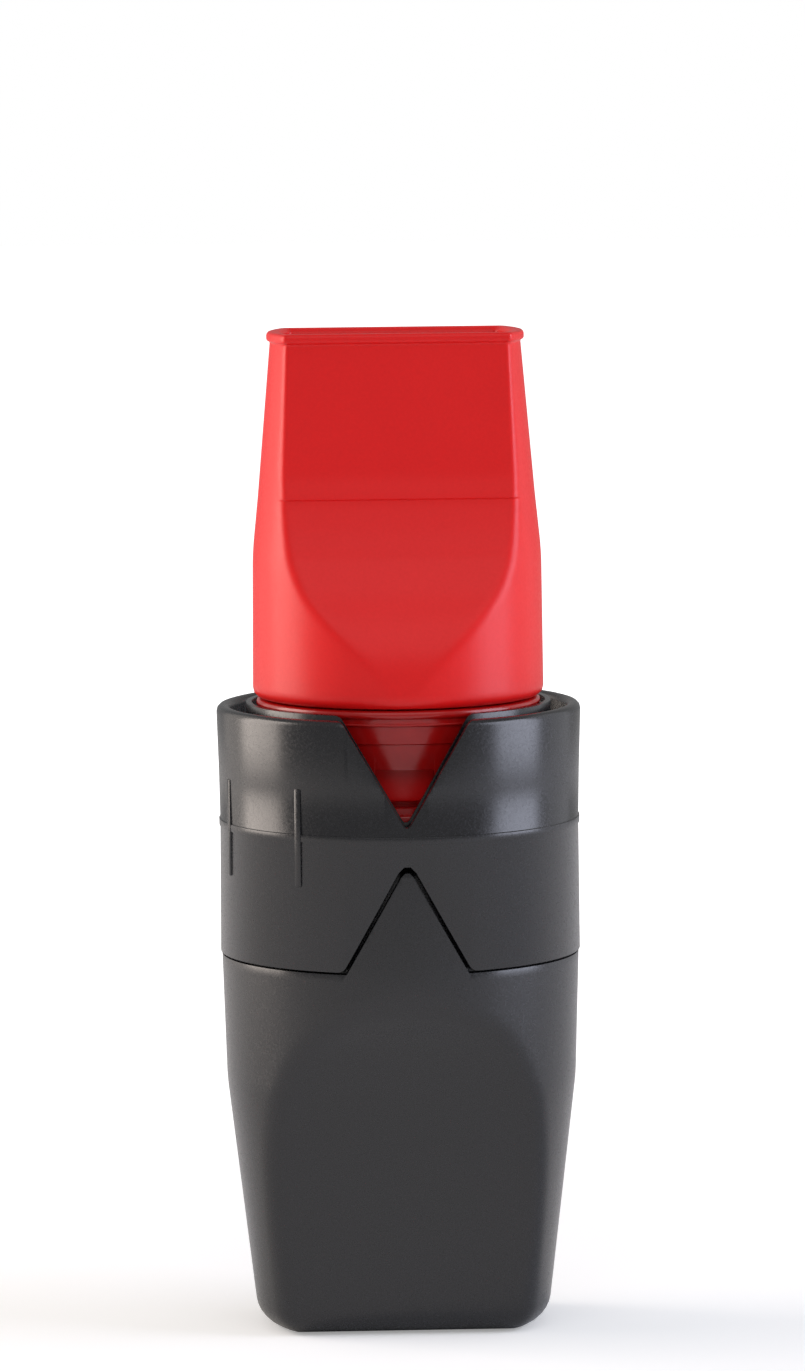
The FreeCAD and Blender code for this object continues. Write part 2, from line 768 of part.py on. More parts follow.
# The hose's sections below its root: the share of its length, its half width and half depth as shares of
# the round radius, the share of the wall at its flat sides, how far it is bent forwards, and its tilt
HOSE_SECTIONS = [
    (0.0, 1.0, 1.0, 1.0, 0.0, 0.0),
    (0.3, 1.0, 1.0, 1.0, 0.0, 0.0),
    (0.44, 1.22, 0.52, 0.9, 1.0, 8.0),
    (0.6, 1.42, 0.2, 0.55, 2.6, 12.0),
    (1.0, 1.42, 0.2, 0.55, 6.3, 12.0),
]


def hose_loft(name, inset):
    """A ruled loft through the hose's sections, each an ellipse drawn in by inset."""
    radius = s.spigot_radius + s.fit_clearance + s.hose_wall
    sections = []
    for number, (share, wide, deep, wall, bend, tilt) in enumerate(HOSE_SECTIONS):
        ellipse = doc.addObject("Part::Ellipse", name + "_section_" + str(number))
        ellipse.setExpression("MajorRadius", (radius * wide - inset).text)
        ellipse.setExpression("MinorRadius", (radius * deep - inset * wall).text)
        ellipse.Placement = Placement(Vector(0, -bend, 0), Rotation(Vector(1, 0, 0), -tilt))
        height = holder_seat - s.cup_depth - s.hose_gap - s.hose_length * share
        ellipse.setExpression("Placement.Base.z", height.text)
        sections.append(ellipse)
    loft = doc.addObject("Part::Loft", name)
    loft.Sections = sections
    loft.Solid = True
    loft.Ruled = True
    doc.recompute()
    return loft


def make_valve_hose():
    """Soft hose, round on the spigot and laid flat at its free end, bent to the front by the scoop."""
    outside = hose_loft("hose_outside", as_size(0))
    return boolean("Cut", "valve_hose", outside, hose_loft("hose_inside", s.hose_wall))


def mouthpiece_side(inset):
    """The mouthpiece's flattened side, from low on the skirt to the mouth, moved in by inset."""
    return [
        (s.skirt_radius + s.flat_low_proud - inset, s.flat_low_height),
        (s.flat_knee_depth - inset, s.flat_knee_height, s.flat_knee_rounding),
        (s.flat_mid_depth - inset, s.flat_mid_height, s.flat_mid_rounding),
        (s.stop_flat_depth - inset, s.stop_height, s.stop_rounding),
        (s.mouth_flat_depth - inset, s.mouthpiece_height + s.cut_margin),
    ]


def make_mouthpiece():
    """Moulded mouthpiece: skirt, stop step, flattened bite end with a rolled lip, and the plug below."""
    solid = new_body("mouthpiece_solid", mouthpiece_seat)
    plug = s.holder_bore_radius - s.plug_clearance
    nose = s.nose_bore_radius - s.plug_clearance
    nose_foot = plug_foot - s.nose_length
    seal_low = nose_foot + s.seal_height - s.seal_groove_width
    groove = nose - s.seal_groove_depth
    corners = [
        (0, nose_foot),
        (nose, nose_foot),
        (nose, seal_low),
        (groove, seal_low),
        (groove, seal_low + s.seal_groove_width),
        (nose, seal_low + s.seal_groove_width),
        (nose, plug_foot),
        (plug, plug_foot),
        (plug, 0),
        (s.skirt_radius - s.skirt_edge_chamfer, 0),
        (s.skirt_radius, s.skirt_edge_chamfer),
        (s.skirt_top_radius, s.skirt_height, s.shoulder_rounding),
        (s.stop_radius, s.stop_height, s.shoulder_rounding),
        (s.mouth_radius, s.mouthpiece_height),
        (0, s.mouthpiece_height),
    ]
    profile = outline(solid, "XZ_Plane", "mouthpiece_profile", corners)
    turned(solid, "Revolution", "mouthpiece_turning", profile)
    flattened(solid, "bite_flat", mouthpiece_side(0))
    bite_edges = chosen_edges(solid.Tip.Shape, meets_flat_and_round)
    rounded(solid, "bite_edges", bite_edges, s.mouth_edge_rounding)
    deepest = s.stop_flat_depth - s.stop_groove_depth
    corners = [
        (deepest, s.stop_height, s.stop_groove_rounding),
        (deepest + s.stop_groove_reach, s.stop_height - s.stop_groove_spread),
        (deepest + s.stop_groove_reach, s.stop_height + s.stop_groove_spread),
    ]
    groove_outline = outline(solid, "YZ_Plane", "stop_groove_outline", corners)
    mirrored(solid, "stop_groove_behind", cut_through(solid, "stop_groove", groove_outline), "XZ_Plane")
    key_radius = s.holder_bore_radius + s.key_height
    corners = [
        (plug - s.cut_margin, plug_foot + s.key_foot_rise),
        (key_radius, plug_foot + s.key_foot_rise),
        (key_radius, -s.key_top_drop),
        (plug - s.cut_margin, -s.key_top_drop),
    ]
    key_outline = outline(solid, "XZ_Plane", "key_profile", corners, azimuth=FRONT)
    turned(solid, "Revolution", "key", key_outline, s.key_angle)

    roll = new_body("lip_roll", mouthpiece_seat)
    low = s.mouthpiece_height - s.lip_roll_height
    corners = [
        (0, low),
        (s.mouth_radius + s.lip_roll, low),
        (s.mouth_radius + s.lip_roll, s.mouthpiece_height),
        (0, s.mouthpiece_height),
    ]
    profile = outline(roll, "XZ_Plane", "roll_profile", corners)
    turned(roll, "Revolution", "roll_turning", profile)
    side = [
        (s.mouth_flat_depth + s.lip_roll, low - s.cut_margin),
        (s.mouth_flat_depth + s.lip_roll, s.mouthpiece_height + s.cut_margin),
    ]
    flattened(roll, "roll_flat", side)
    roll_edges = chosen_edges(roll.Tip.Shape, meets_flat_and_round)
    rounded(roll, "roll_corners", roll_edges, s.mouth_edge_rounding + s.lip_roll)
    flat_ends = chosen_edges(roll.Tip.Shape, lambda edge, faces: edge.BoundBox.ZLength < 1e-4)
    bevelled(roll, "roll_edges", flat_ends, s.lip_roll_chamfer)

    hollow = new_body("mouthpiece_hollow", mouthpiece_seat)
    wall = s.mouth_wall
    plug_bore = plug - s.plug_wall
    corners = [
        (0, s.funnel_foot_height),
        (plug_bore, s.funnel_foot_height),
        (s.skirt_radius - wall, s.funnel_top_height),
        (s.skirt_top_radius - wall, s.skirt_height, s.shoulder_rounding),
        (s.stop_radius - wall, s.stop_height, s.shoulder_rounding),
        (s.mouth_radius - wall, s.mouthpiece_height + s.cut_margin),
        (0, s.mouthpiece_height + s.cut_margin),
    ]
    profile = outline(hollow, "XZ_Plane", "airway_profile", corners)
    turned(hollow, "Revolution", "airway_turning", profile)
    flattened(hollow, "airway_flat", mouthpiece_side(wall))

    bore = new_body("plug_bore", mouthpiece_seat)
    nose_bore = nose - s.nose_wall
    corners = [
        (0, nose_foot - s.cut_margin),
        (nose_bore, nose_foot - s.cut_margin),
        (nose_bore, plug_foot),
        (plug_bore, plug_foot + s.nose_wall),
        (plug_bore, s.funnel_foot_height + s.cut_margin),
        (0, s.funnel_foot_height + s.cut_margin),
    ]
    profile = outline(bore, "XZ_Plane", "bore_profile", corners)
    turned(bore, "Revolution", "bore_turning", profile)

    outside = boolean("MultiFuse", "mouthpiece_outside", solid, roll)
    inside = boolean("MultiFuse", "mouthpiece_inside", hollow, bore)
    return boolean("Cut", "mouthpiece", outside, inside)


def make_mouthpiece_seal():
    """Sealing ring, eight-sided in section, in the groove of the mouthpiece's nose and running in the cup."""
    body = new_body("mouthpiece_seal", mouthpiece_seat)
    nose = s.nose_bore_radius - s.plug_clearance
    inner = nose - s.seal_groove_depth + s.seal_clearance
    outer = s.nose_bore_radius - s.seal_clearance
    half = (outer - inner) / 2
    middle = plug_foot - s.nose_length + s.seal_height - s.seal_groove_width / 2
    cut = half * s.seal_corner_share
    corners = [
        (inner + cut, middle - half),
        (outer - cut, middle - half),
        (outer, middle - half + cut),
        (outer, middle + half - cut),
        (outer - cut, middle + half),
        (inner + cut, middle + half),
        (inner, middle + half - cut),
        (inner, middle - half + cut),
    ]
    turned(body, "Revolution", "seal_turning", outline(body, "XZ_Plane", "seal_profile", corners))
    return body


PIECES = {
    "cap_housing": make_cap_housing,
    "connector_sleeve": make_connector_sleeve,
    "guide_ring": make_guide_ring,
    "hose_guide": make_hose_guide,
    "hose_holder": make_hose_holder,
    "hose_clamp": make_hose_clamp,
    "valve_hose": make_valve_hose,
    "mouthpiece": make_mouthpiece,
    "mouthpiece_seal": make_mouthpiece_seal,
}

made = {}
for node, make in PIECES.items():
    made[node] = make()
    made[node].Label = node
doc.recompute()

for part in doc.Objects:
    if "Invalid" in part.State or "Error" in part.State:
        raise RuntimeError(part.Name + " failed: " + str(part.State))
for node, part in made.items():
    shape = part.Shape
    if shape.isNull() or not shape.isValid() or len(shape.Solids) != 1:
        raise RuntimeError(node + " is not one sound solid")

os.makedirs("parts", exist_ok=True)
for node, part in made.items():
    part.Shape.exportStep("parts/" + node + ".step")
    print(node, "volume", round(part.Shape.Volume, 1), "mm3")
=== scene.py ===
import math

import bmesh
import bpy
from mathutils import Matrix, Vector


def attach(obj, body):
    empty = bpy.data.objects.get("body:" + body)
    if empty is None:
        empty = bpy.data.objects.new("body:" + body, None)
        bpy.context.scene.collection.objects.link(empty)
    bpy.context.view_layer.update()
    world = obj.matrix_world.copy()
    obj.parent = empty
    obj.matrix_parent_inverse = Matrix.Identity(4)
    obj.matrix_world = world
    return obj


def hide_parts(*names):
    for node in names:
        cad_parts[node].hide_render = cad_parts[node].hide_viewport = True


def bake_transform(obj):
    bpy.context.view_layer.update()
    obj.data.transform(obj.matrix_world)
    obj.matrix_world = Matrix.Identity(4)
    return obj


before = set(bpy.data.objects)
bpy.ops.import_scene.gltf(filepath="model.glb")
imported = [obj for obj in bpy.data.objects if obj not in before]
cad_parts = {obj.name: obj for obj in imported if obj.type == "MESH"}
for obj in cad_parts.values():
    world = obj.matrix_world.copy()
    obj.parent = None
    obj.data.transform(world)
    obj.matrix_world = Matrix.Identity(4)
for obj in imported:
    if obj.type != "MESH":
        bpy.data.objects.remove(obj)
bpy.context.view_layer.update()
MM = 0.001


# Camera
# A long lens 0.9 m away and a little above the object, slightly to its left and tipped down, as in a product
# shot.
camera_data = bpy.data.cameras.new("camera")
camera_data.lens = 185.25
camera_data.sensor_width = 36.0
camera_data.shift_x = 0.00319
camera_distance = 900.0 * MM
camera_height = 181.05 * MM
camera_turn = math.radians(2.399)
camera_tip = math.radians(6.249)
camera_roll = math.radians(-0.523)
camera = bpy.data.objects.new("camera", camera_data)
bpy.context.scene.collection.objects.link(camera)
camera.location = (
    -camera_distance * math.sin(camera_turn),
    -camera_distance * math.cos(camera_turn),
    camera_height,
)
heading = Vector((
    math.sin(camera_turn) * math.cos(camera_tip),
    math.cos(camera_turn) * math.cos(camera_tip),
    -math.sin(camera_tip),
))
look = heading.to_track_quat("-Z", "Y").to_matrix() @ Matrix.Rotation(camera_roll, 3, "Z")
camera.rotation_euler = look.to_euler()
bpy.context.scene.camera = camera
bpy.context.scene.view_settings.view_transform = "Standard"


# Studio
# Tall soft boxes beside and behind the object, warm on the left and cooler on the right, and a broad one high
# in front. The camera sees plain white all round, of which a third lights the object. The pale table glows to
# that white away from the object and less below it, so that the shadow stays.
def linear_colour(code):
    channels = [int(code[i:i + 2], 16) / 255 for i in (1, 3, 5)]
    return [c / 12.92 if c <= 0.04045 else ((c + 0.055) / 1.055) ** 2.4 for c in channels] + [1.0]


def add_node(tree, kind, inputs=None, **settings):
    """Adds a node with its settings; each input is a value or the socket that feeds it."""
    node = tree.nodes.new(kind)
    for name, value in settings.items():
        setattr(node, name, value)
    for socket, value in (inputs or {}).items():
        if isinstance(value, bpy.types.NodeSocket):
            tree.links.new(value, node.inputs[socket])
        else:
            node.inputs[socket].default_value = value
    return node


def add_soft_box(name, place, size, power, tint):
    """A rectangular lamp that faces the object; place and size in metres, power in watts."""
    data = bpy.data.lights.new(name, "AREA")
    data.shape = "RECTANGLE"
    data.size, data.size_y = size
    data.energy = power
    data.color = linear_colour(tint)[:3]
    lamp = bpy.data.objects.new(name, data)
    bpy.context.scene.collection.objects.link(lamp)
    lamp.location = place
    lamp.rotation_euler = (Vector(object_middle) - Vector(place)).to_track_quat("-Z", "Y").to_euler()


def as_object(name, bm):
    """Puts a bmesh into the scene as an object."""
    mesh = bpy.data.meshes.new(name)
    bm.to_mesh(mesh)
    bm.free()
    made = bpy.data.objects.new(name, mesh)
    bpy.context.scene.collection.objects.link(made)
    return made


def new_material(name):
    """A material with an empty node tree."""
    material = bpy.data.materials.new(name)
    material.use_nodes = True
    material.node_tree.nodes.clear()
    return material


object_middle = (0, 0, 0.065)
add_soft_box("left_box", (-0.709, 0.125, 0.16), (0.45, 0.9), 6.4, "#FFF2E8")
add_soft_box("left_back_box", (-0.56, 0.45, 0.2), (0.4, 0.9), 0.8, "#FFF4EA")
add_soft_box("right_box", (0.704, -0.15, 0.16), (0.45, 0.9), 5.6, "#E6EBFF")
add_soft_box("right_back_box", (0.63, 0.35, 0.2), (0.4, 0.9), 0.6, "#F4F6FF")
add_soft_box("high_box", (0, -0.75, 0.85), (1.2, 0.8), 2.2, "#FFFFFF")

plain_white = linear_colour("#FFFFFF")
world_light = 0.33
world = bpy.data.worlds.new("studio")
world.use_nodes = True
bpy.context.scene.world = world
studio = world.node_tree
studio.nodes.clear()
path = add_node(studio, "ShaderNodeLightPath")
seen = add_node(studio, "ShaderNodeMath", {
    0: path.outputs["Is Camera Ray"], 1: path.outputs["Is Transmission Ray"]}, operation="MAXIMUM")
dim = add_node(studio, "ShaderNodeBackground", {"Color": plain_white, "Strength": world_light})
white = add_node(studio, "ShaderNodeBackground", {"Color": plain_white, "Strength": 1.0})
both = add_node(studio, "ShaderNodeMixShader", {0: seen.outputs[0], 1: dim.outputs[0], 2: white.outputs[0]})
add_node(studio, "ShaderNodeOutputWorld", {"Surface": both.outputs[0]})

# White laminate: matt below the object, where its shadow falls, and plain white to the eye further out.
glow_starts = 0.1
glow_full = 0.45
glow_below_object = 0.3
table_paint = new_material("white_laminate")
laminate = table_paint.node_tree
path = add_node(laminate, "ShaderNodeLightPath")
place = add_node(laminate, "ShaderNodeTexCoord").outputs["Object"]
far = add_node(laminate, "ShaderNodeVectorMath", {0: place}, operation="LENGTH")
fade = add_node(laminate, "ShaderNodeMapRange", {
    0: far.outputs["Value"], 1: glow_starts, 2: glow_full, 3: glow_below_object, 4: 1.0})
lit = add_node(laminate, "ShaderNodeBsdfDiffuse", {"Color": linear_colour("#F4F4F4")})
glow = add_node(laminate, "ShaderNodeEmission", {"Color": plain_white, "Strength": fade.outputs[0]})
both = add_node(laminate, "ShaderNodeAddShader", {0: lit.outputs[0], 1: glow.outputs[0]})
shown = add_node(laminate, "ShaderNodeMixShader", {
    0: path.outputs["Is Camera Ray"], 1: lit.outputs[0], 2: both.outputs[0]})
add_node(laminate, "ShaderNodeOutputMaterial", {"Surface": shown.outputs[0]})

table_half = 3.0
table_gap = 0.0002
table_bm = bmesh.new()
bmesh.ops.create_grid(table_bm, x_segments=1, y_segments=1, size=table_half)
table_top = as_object("table_top", table_bm)
table_top.location.z = -table_gap
table_top.data.materials.append(table_paint)


# Housing
# The moulded lower half and mouth cap: ABS in anthracite with a fine spark-eroded texture, round at the
# shoulder and flattened front and back to the foot. A thin neck enters the sleeve, and a tongue in front and
# one behind fill the sleeve's lower notches.
def moulded_plastic(name, colour, shade, rough, ior, grain, grain_depth):
    """Moulded plastic with a fine eroded grain: colour drifts a little, and the grain breaks up the shine."""
    patch_size = 22 * MM
    grain_size = grain * MM
    grain_height = 0.03 * MM
    material = new_material(name)
    tree = material.node_tree
    where = add_node(tree, "ShaderNodeTexCoord").outputs["Object"]
    drift = add_node(tree, "ShaderNodeTexNoise", {"Vector": where, "Scale": 1 / patch_size, "Detail": 3.0})
    speck = add_node(tree, "ShaderNodeTexNoise", {"Vector": where, "Scale": 1 / grain_size, "Detail": 2.0})
    mixed = add_node(tree, "ShaderNodeMath", {0: drift.outputs[0], 1: speck.outputs[0]}, operation="ADD")
    amount = add_node(tree, "ShaderNodeMapRange", {0: mixed.outputs[0], 1: 0.7, 2: 1.3, 3: 0.0, 4: 1.0})
    tone = add_node(tree, "ShaderNodeMix", {
        0: amount.outputs[0], 6: linear_colour(colour), 7: linear_colour(shade)}, data_type="RGBA")
    dull = add_node(tree, "ShaderNodeMapRange", {
        0: speck.outputs[0], 1: 0.3, 2: 0.7, 3: rough - 0.04, 4: rough + 0.05})
    bump = add_node(tree, "ShaderNodeBump", {
        "Strength": grain_depth, "Distance": grain_height, "Height": speck.outputs[0]})
    skin = add_node(tree, "ShaderNodeBsdfPrincipled", {
        "Base Color": tone.outputs[2], "Roughness": dull.outputs[0], "IOR": ior, "Normal": bump.outputs[0]})
    add_node(tree, "ShaderNodeOutputMaterial", {"Surface": skin.outputs[0]})
    return material


def bevel(bm, geom, width, segments, affect="EDGES", clamp=True):
    """Rounds edges or corners off by a width in millimetres."""
    bmesh.ops.bevel(bm, geom=geom, offset=width * MM, offset_type="OFFSET", segments=segments, profile=0.5,
                    affect=affect, clamp_overlap=clamp, material=-1)


def wire(bm, corners, closed=False):
    """A line in the XZ plane through (radius, height) or (radius, height, rounding), in millimetres."""
    verts = [bm.verts.new((c[0] * MM, 0, c[1] * MM)) for c in corners]
    pairs = list(zip(verts, verts[1:] + (verts[:1] if closed else [])))
    for pair in pairs:
        bm.edges.new(pair)
    count = len(corners)
    for i, corner in enumerate(corners):
        if len(corner) < 3:
            continue
        rounding = corner[2]
        here = Vector(corner[:2])
        before = Vector(corners[i - 1][:2]) - here
        after = Vector(corners[(i + 1) % count][:2]) - here
        run = rounding / math.tan(before.angle(after) / 2)
        segments = max(3, min(12, int(rounding * 2)))
        bevel(bm, [verts[i]], width=run, segments=segments, affect="VERTICES", clamp=False)


def divide(bm, step):
    """Divides every edge that is longer than step, so that the shape can be bent between its corners."""
    bm.edges.ensure_lookup_table()
    for edge in list(bm.edges):
        cuts = int(edge.calc_length() / (step * MM))
        if cuts:
            bmesh.ops.subdivide_edges(bm, edges=[edge], cuts=cuts)


def spin_round(bm, steps):
    """Turns everything in the mesh about the upright axis, and closes the seam and the poles."""
    bmesh.ops.spin(bm, geom=bm.verts[:] + bm.edges[:], cent=(0, 0, 0), axis=(0, 0, 1),
                   angle=math.tau, steps=steps, use_merge=True, use_duplicate=False)
    bmesh.ops.remove_doubles(bm, verts=bm.verts[:], dist=0.0005 * MM)


def turned(corners, steps, seat=0.0):
    """A round body: a closed outline, raised to its seat and turned about the upright axis."""
    bm = bmesh.new()
    wire(bm, corners, closed=True)
    bmesh.ops.translate(bm, verts=bm.verts[:], vec=(0, 0, seat * MM))
    spin_round(bm, steps)
    return bm


def depth_at(points, z):
    """The depth at height z on a line through points (depth, height)."""
    for (depth_low, low), (depth_high, high) in zip(points, points[1:]):
        if z <= high:
            share = (z - low) / (high - low)
            return depth_low + (depth_high - depth_low) * max(0.0, share)
    return points[-1][0]


def eased(points, z, reach):
    """The same depth, averaged over reach millimetres up and down, which rounds the line's corners."""
    heights = [z + reach * (i / 4 - 1) for i in range(9)]
    return sum(depth_at(points, height) for height in heights) / 9


def press_flat(verts, outer, side, softness, reach):
    """Presses front and back towards the flattened side, with a soft edge where flat meets round."""
    for vert in verts:
        z = vert.co.z / MM
        radius = math.hypot(vert.co.x, vert.co.y) / MM
        depth = eased(side, z, reach) - (depth_at(outer, z) - radius)
        soft = depth_at(softness, z)
        out = abs(vert.co.y) / MM
        blend = max(0.0, 1 - abs(out - depth) / soft)
        pressed = min(out, depth) - blend * blend * soft / 4
        vert.co.y = math.copysign(max(pressed, 0.0), vert.co.y) * MM


def cutter(name, corners, seat, front=-40.0, back=40.0):
    """A prism from front to back through an outline in the XZ plane, standing at a height."""
    bm = bmesh.new()
    wire(bm, corners, closed=True)
    bmesh.ops.contextual_create(bm, geom=bm.edges[:])
    bmesh.ops.translate(bm, verts=bm.verts[:], vec=(0, front * MM, seat * MM))
    body = bmesh.ops.extrude_face_region(bm, geom=bm.faces[:])
    moved = [item for item in body["geom"] if isinstance(item, bmesh.types.BMVert)]
    bmesh.ops.translate(bm, verts=moved, vec=(0, (back - front) * MM, 0))
    bmesh.ops.recalc_face_normals(bm, faces=bm.faces[:])
    return as_object(name, bm)


def cut(bm, *tools):
    """The mesh with the tools taken off it one after another, as a new bmesh; the tools are removed."""
    bmesh.ops.recalc_face_normals(bm, faces=bm.faces[:])
    work = as_object("work", bm)
    for tool in tools:
        modifier = work.modifiers.new(tool.name, "BOOLEAN")
        modifier.operation = "DIFFERENCE"
        modifier.solver = "EXACT"
        modifier.object = tool
    evaluated = work.evaluated_get(bpy.context.evaluated_depsgraph_get())
    result = bmesh.new()
    result.from_mesh(evaluated.to_mesh())
    evaluated.to_mesh_clear()
    for gone in (work, *tools):
        bpy.data.objects.remove(gone)
    bmesh.ops.dissolve_degenerate(result, dist=0.002 * MM, edges=result.edges[:])
    return result


def break_edges(bm, width, segments, test=None):
    """Takes the sharpness off every edge that turns clearly and, where a test is given, passes it."""
    least = math.radians(38)
    bmesh.ops.remove_doubles(bm, verts=bm.verts[:], dist=0.003 * MM)
    chosen = [edge for edge in bm.edges if len(edge.link_faces) == 2
              and edge.calc_face_angle(0) > least and (test is None or test(edge))]
    bevel(bm, chosen, width, segments)


def make_piece(name, bm, body, nodes, material):
    """Finishes the mesh as a piece: outward faces, smooth shading with sharp edges kept, body and slot."""
    sharp_angle = math.radians(32)
    bmesh.ops.recalc_face_normals(bm, faces=bm.faces[:])
    piece = as_object(name, bm)
    mesh = piece.data
    mesh.polygons.foreach_set("use_smooth", [True] * len(mesh.polygons))
    mesh.set_sharp_from_angle(angle=sharp_angle)
    mesh.materials.append(material)
    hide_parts(*nodes)
    if body:
        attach(piece, body)
    return piece


# Anthracite ABS: nearly black with a cool cast; the grain spreads the soft boxes' shine into broad bands.
anthracite = moulded_plastic("anthracite_abs", "#0F0F13", "#131318", 0.25, 1.62, 0.35, 0.14)

housing_height = 48.3
housing_wall = 1.5
housing_floor = 1.6
foot_radius = 18.67
foot_rounding = 3.2
foot_straight = (19.19, 4.4)
kink = (22.46, 32.1)
kink_rounding = 26.0
kink_bore = 19.9
shoulder_radius = 22.95
blank_radius = 23.02
neck_top = 61.6
neck_radius = 21.41
neck_bore = 20.06
neck_lead = (20.9, 60.6)
flat_reach = 1.8
housing_outer = [
    (foot_radius, 0), kink, (shoulder_radius, housing_height), (blank_radius, neck_top)]
housing_side = [
    (10.7, 0), (11.1, 10.0), (11.5, 16.0), (12.3, 22.0), (13.3, 26.0), (14.6, 30.2),
    (16.4, 34.3), (18.5, 38.4), (20.6, 41.2), (shoulder_radius, 43.4), (30.0, 62.0)]
housing_softness = [(2.0, 0), (1.8, 24.0), (1.5, 36.0), (1.4, 50.0)]

bm = bmesh.new()
wire(bm, [
    (foot_radius, 0), foot_straight, (*kink, kink_rounding), (shoulder_radius, housing_height),
    (blank_radius, neck_top), (neck_bore, neck_top), (kink_bore, kink[1]),
    (foot_radius - housing_wall, housing_floor)])
divide(bm, step=1.1)
# The foot's rounding needs one straight run above the edge, so the points on that run go.
low = [v for v in bm.verts if v.co.x > (foot_radius + 0.01) * MM and v.co.z < (foot_straight[1] - 0.1) * MM]
bmesh.ops.dissolve_verts(bm, verts=low)
spin_round(bm, steps=240)
inner_line = [
    (foot_radius, housing_floor), (kink_bore + housing_wall, kink[1]), (neck_bore + housing_wall, neck_top)]
inner = [v for v in bm.verts if v.co.z > MM
         and math.hypot(v.co.x, v.co.y) / MM < depth_at(inner_line, v.co.z / MM) - housing_wall / 2]
outer = list(set(bm.verts) - set(inner))
press_flat(outer, housing_outer, housing_side, housing_softness, flat_reach)
press_flat(inner, inner_line, housing_side, housing_softness, flat_reach)
for height in (0, housing_floor):
    rim = [e for e in bm.edges if e.is_boundary and abs(e.verts[0].co.z / MM - height) < 0.01]
    bmesh.ops.contextual_create(bm, geom=rim)
rim = [e for e in bm.edges if max(v.co.z for v in e.verts) < 0.01 * MM]
bevel(bm, rim, width=foot_rounding, segments=7, clamp=False)

# The relief is what the neck loses round the outside, where the sleeve goes; the tongues stay in it.
relief_radius = 26.0
relief_top = 63.0
notch_half = 8.16
tongue_half = notch_half - 0.44
tongue_root = -1.0
tongue_corners = [
    (-tongue_half, tongue_root), (tongue_half, tongue_root), (tongue_half, 0), (0, 13.85, 0.9),
    (-tongue_half, 0)]
relief = turned([
    (neck_radius, housing_height), (relief_radius, housing_height), (relief_radius, relief_top),
    (neck_lead[0], relief_top), (neck_lead[0], neck_top), (neck_radius, neck_lead[1])], steps=240)
relief = cut(relief, cutter("tongue_space", tongue_corners, housing_height))
bmesh.ops.recalc_face_normals(relief, faces=relief.faces[:])
bm = cut(bm, as_object("relief", relief))
break_edges(bm, width=0.26, segments=3)
make_piece("housing_moulding", bm, "housing", ["cap_housing"], anthracite)


# Sleeve
# A moulding of the same anthracite ABS: waisted wall, V notches above and below, a rolled rim, a raised band
# round the middle and four setting bars that the mark in front is turned to.
sleeve_foot = 48.6
sleeve_height = 31.8
sleeve_bore = 21.5
sleeve_foot_radius = 23.12
flare = (23.12, 23.0, 60.0)
rim_radius = 23.38
rim_rounding = 0.86
waist_radius = 23.02
waist_height = 16.8
web_bore = 18.2
web_low = 15.5
web_high = 16.9
upper_depth = 13.95
upper_tip = 0.55
lower_depth = 14.75
lower_tip = 1.3
band_half = 0.475
band_radius = waist_radius + 0.14
band_chamfer = 0.1
band_low = waist_height - band_half
band_high = waist_height + band_half

bm = turned([
    (sleeve_bore, 0), (sleeve_foot_radius, 0), (waist_radius, band_low), (band_radius, band_low),
    (band_radius, band_high - band_chamfer), (band_radius - band_chamfer, band_high),
    (waist_radius, band_high), flare, (rim_radius, sleeve_height, rim_rounding),
    (sleeve_bore, sleeve_height, rim_rounding), (sleeve_bore, web_high), (web_bore, web_high),
    (web_bore, web_low), (sleeve_bore, web_low)], steps=256, seat=sleeve_foot)


def notch_corners(edge, way, depth, tip):
    """A V with a rounded tip and rounded mouth corners, from an edge upwards (1) or downwards (-1)."""
    mouth = edge - 0.03 * way
    mouth_rounding = 1.2
    beyond = edge - 2.0 * way
    wide = notch_half + 2.6
    return [
        (-wide, beyond), (-wide, mouth), (-notch_half, mouth, mouth_rounding), (0, edge + depth * way, tip),
        (notch_half, mouth, mouth_rounding), (wide, mouth), (wide, beyond)]


bm = cut(
    bm,
    cutter("upper_notches", notch_corners(sleeve_height, -1, upper_depth, upper_tip), sleeve_foot),
    cutter("lower_notches", notch_corners(0, 1, lower_depth, lower_tip), sleeve_foot))
break_edges(bm, width=0.2, segments=2)

bar_count = 4
bar_length = 12.4
bar_width = 0.95
bar_depth = 0.9
bar_front = 23.08 + 0.18
click = 36.0
for step in range(1, bar_count + 1):
    made = bmesh.ops.create_cube(bm, size=1.0)["verts"]
    bmesh.ops.scale(bm, verts=made, vec=(bar_width * MM, bar_depth * MM, bar_length * MM))
    edges = {e for v in made for e in v.link_edges}
    bevel(bm, list(edges), width=0.16, segments=2)
    # The bar is still at the origin, inside the bore, so its points are the only ones near the axis.
    bar = [v for v in bm.verts if abs(v.co.x) < bar_width * MM and abs(v.co.y) < 1.0 * MM]
    bmesh.ops.translate(
        bm, verts=bar, vec=(0, -(bar_front - bar_depth / 2) * MM, (sleeve_foot + waist_height) * MM))
    bmesh.ops.rotate(
        bm, verts=bar, cent=(0, 0, 0), matrix=Matrix.Rotation(math.radians(-click * step), 3, "Z"))
make_piece("sleeve_moulding", bm, "sleeve", ["connector_sleeve"], anthracite)


